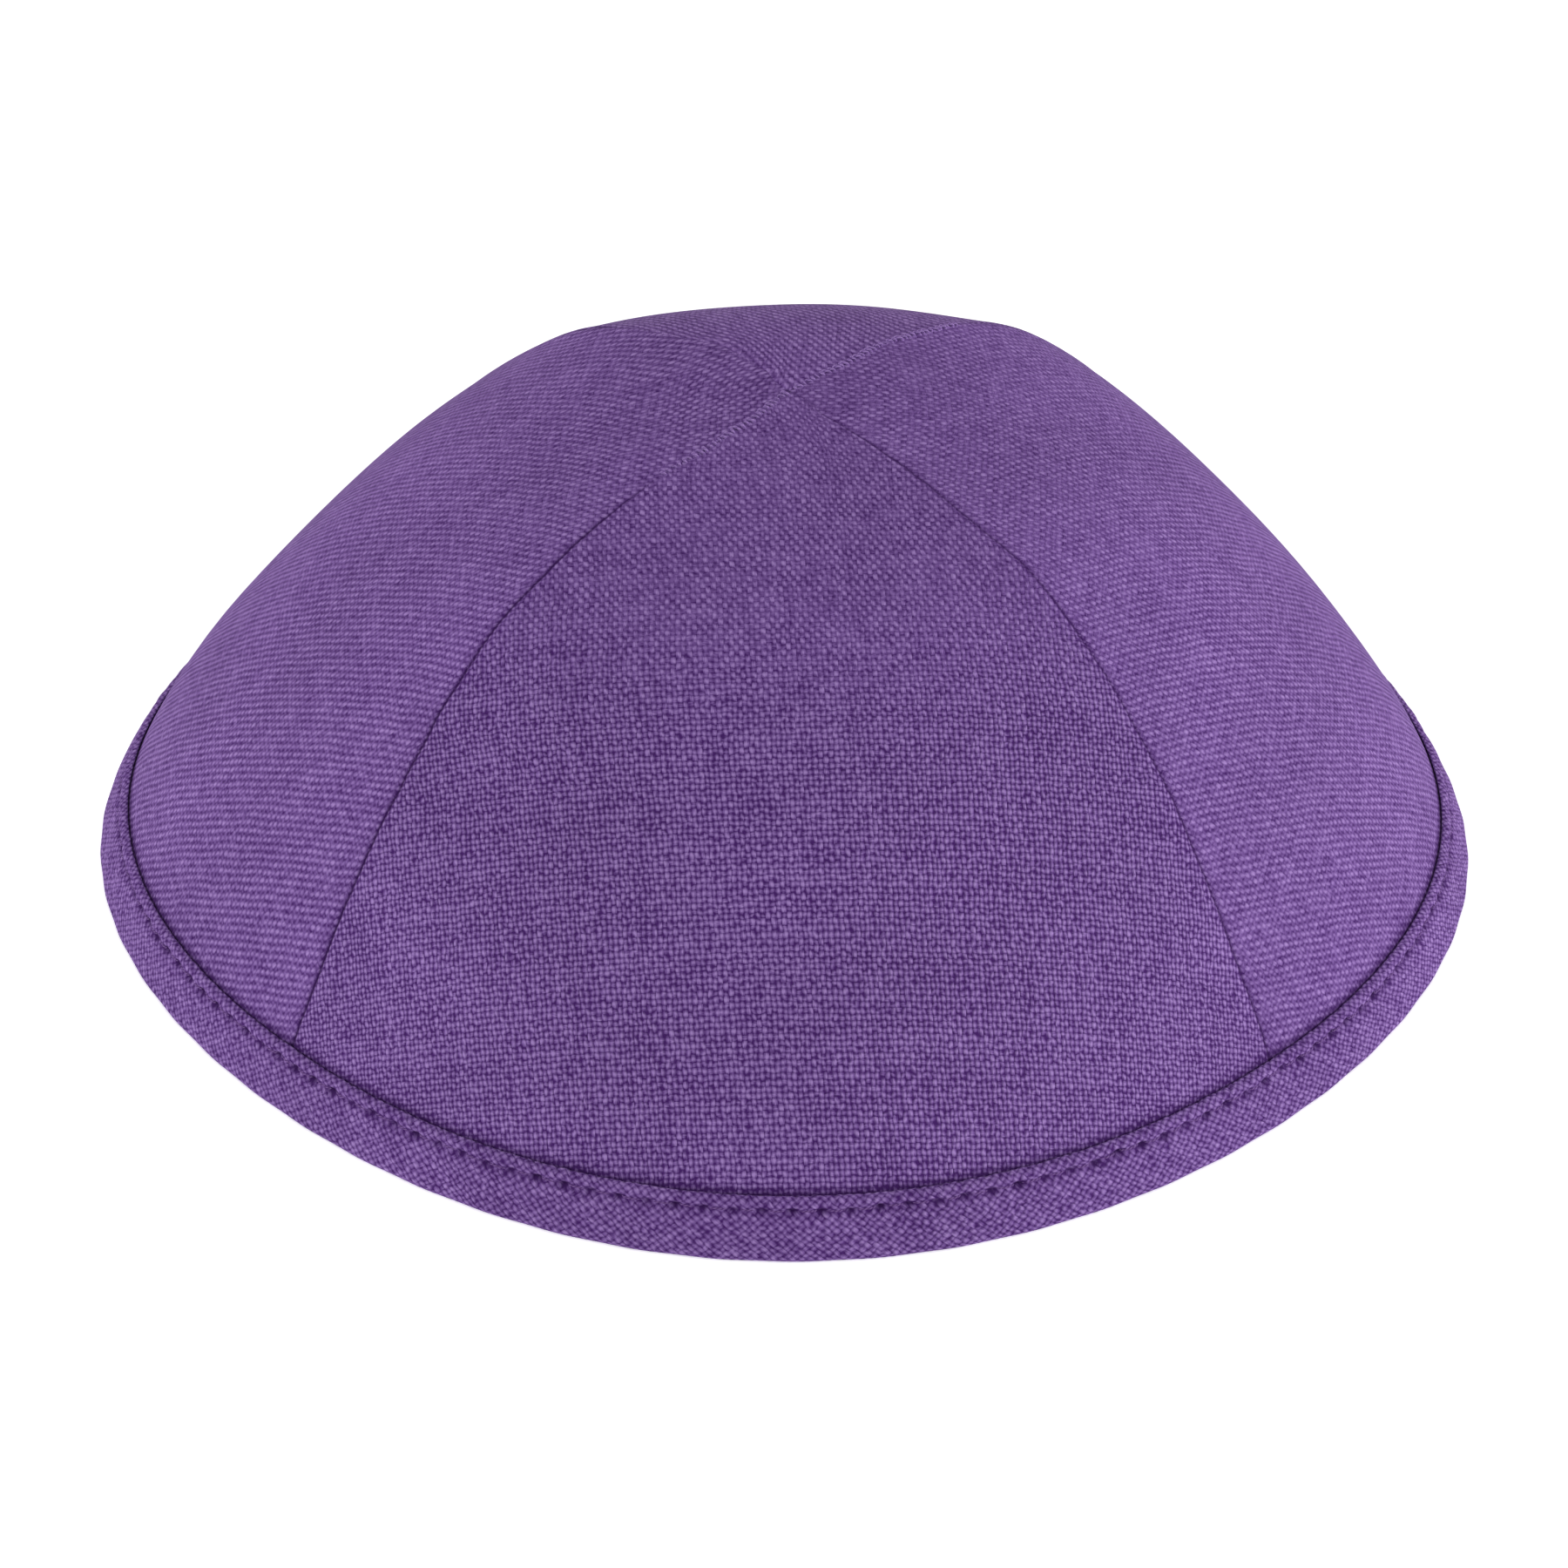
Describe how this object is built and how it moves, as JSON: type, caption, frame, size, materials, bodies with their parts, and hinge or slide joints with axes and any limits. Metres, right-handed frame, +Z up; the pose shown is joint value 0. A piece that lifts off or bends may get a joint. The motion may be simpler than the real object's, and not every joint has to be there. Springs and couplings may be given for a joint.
{
  "type": "four-panel linen skullcap",
  "caption": "Round linen skullcap of curved triangular panels that meet at the top, with a narrow folded strip sewn round its rim. It rests on the rim, open below.",
  "frame": {"origin": "middle of the rim's rest plane, at the bottom centre of the box", "axes": "+Z up to the top of the crown, -Y towards the front panel, +X to the right of the front panel"},
  "size_m": [0.1786, 0.1786, 0.0643],
  "materials": {
    "crown_linen": "purple plain-weave linen, dry and matt with a faint sheen, slubs both ways",
    "binding_linen": "the same purple linen cut on the bias, folded over the edge and sewn through once"
  },
  "bodies": {
    "root": {"panel_front": "crown_linen", "panel_right": "crown_linen", "panel_back": "crown_linen", "panel_left": "crown_linen", "rim_binding": "binding_linen"}
  },
  "joints": []
}
